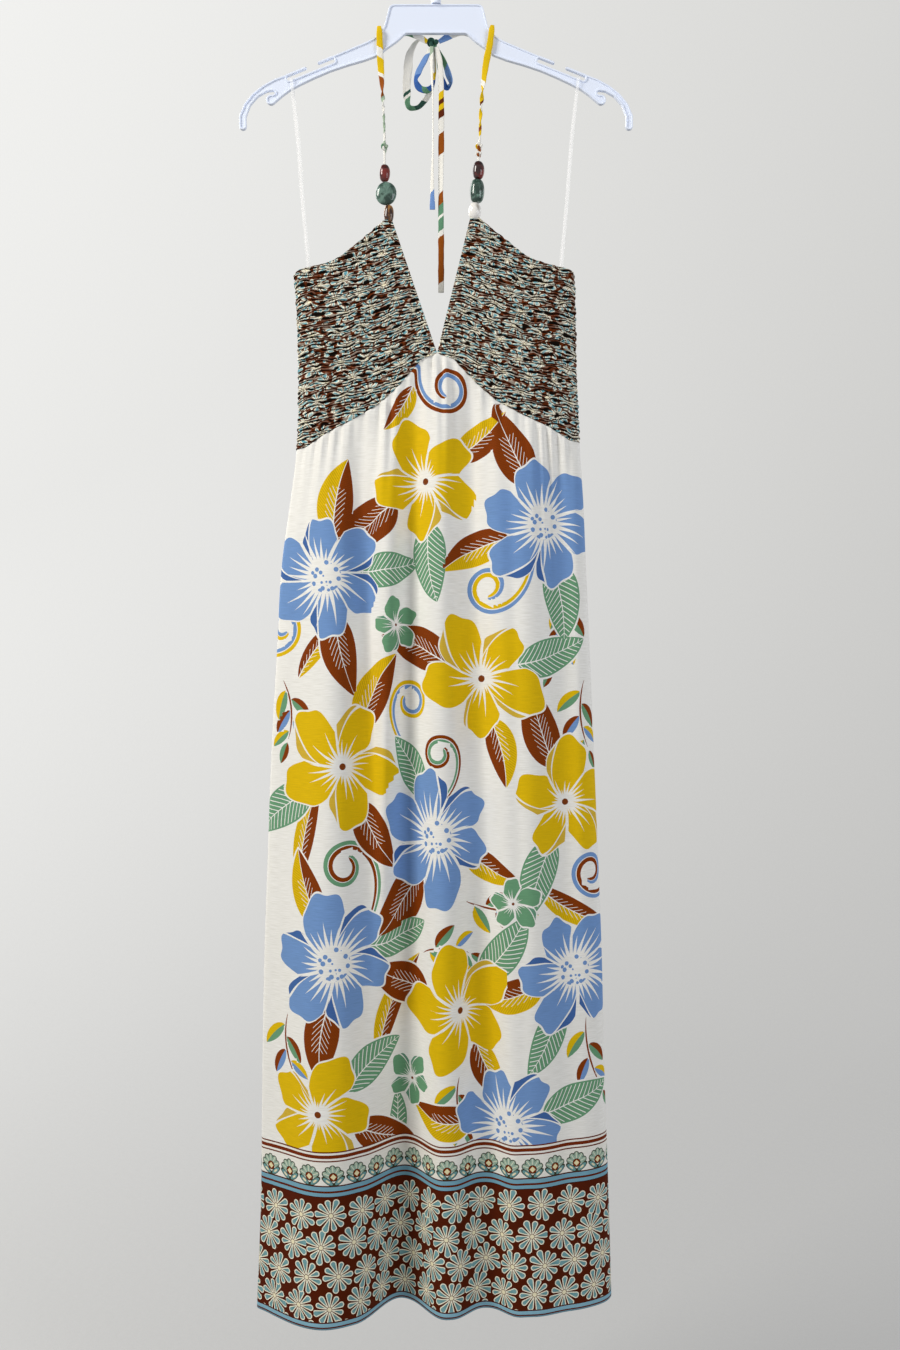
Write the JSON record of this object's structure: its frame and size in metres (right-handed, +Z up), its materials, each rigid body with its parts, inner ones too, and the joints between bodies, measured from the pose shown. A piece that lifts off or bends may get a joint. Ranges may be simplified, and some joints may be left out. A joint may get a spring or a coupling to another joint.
{
  "type": "maxi dress on a hanger",
  "caption": "Halter maxi dress with smocked cups, gathered border-print skirt and beaded ties, hanging flat on a moulded hanger with a rail hook.",
  "frame": {"origin": "top of the inside of the hanger's hook, where it rests on a rail", "axes": "+Z up along the hanging dress, -Y out of the dress's front, +X to the viewer's right"},
  "size_m": [0.433, 0.1004, 1.499],
  "materials": {
    "pale_polypropylene": "satin moulded",
    "smocked_cloth": "smocked daisy print",
    "printed_viscose": "slub weave, floral border print",
    "yellow_strap_cloth": "turned printed ribbon",
    "white_strap_cloth": "turned printed ribbon",
    "blue_strap_cloth": "turned printed ribbon",
    "green_strap_cloth": "turned printed ribbon",
    "clear_elastic": "clear",
    "garnet_bead": "polished",
    "green_bead": "polished",
    "amber_bead": "polished",
    "shell_bead": "polished"
  },
  "bodies": {
    "root": {"hanger": "pale_polypropylene", "hanger_hook": "pale_polypropylene", "cup_left": "smocked_cloth", "cup_right": "smocked_cloth", "bodice_back": "smocked_cloth", "skirt_front": "printed_viscose", "skirt_back": "printed_viscose", "halter_strap_left": "yellow_strap_cloth", "halter_strap_right": "yellow_strap_cloth", "bow_knot": "green_strap_cloth", "bow_loop_left": "white_strap_cloth", "bow_loop_inner": "blue_strap_cloth", "bow_loop_right": "green_strap_cloth", "tie_tail_long": "white_strap_cloth", "tie_tail_short": "blue_strap_cloth", "bead_left_bottom": "amber_bead", "bead_left_middle": "green_bead", "bead_left_top": "garnet_bead", "bead_right_bottom": "shell_bead", "bead_right_middle": "green_bead", "bead_right_top": "garnet_bead", "hanging_loop_left": "clear_elastic", "hanging_loop_right": "clear_elastic"}
  },
  "joints": []
}
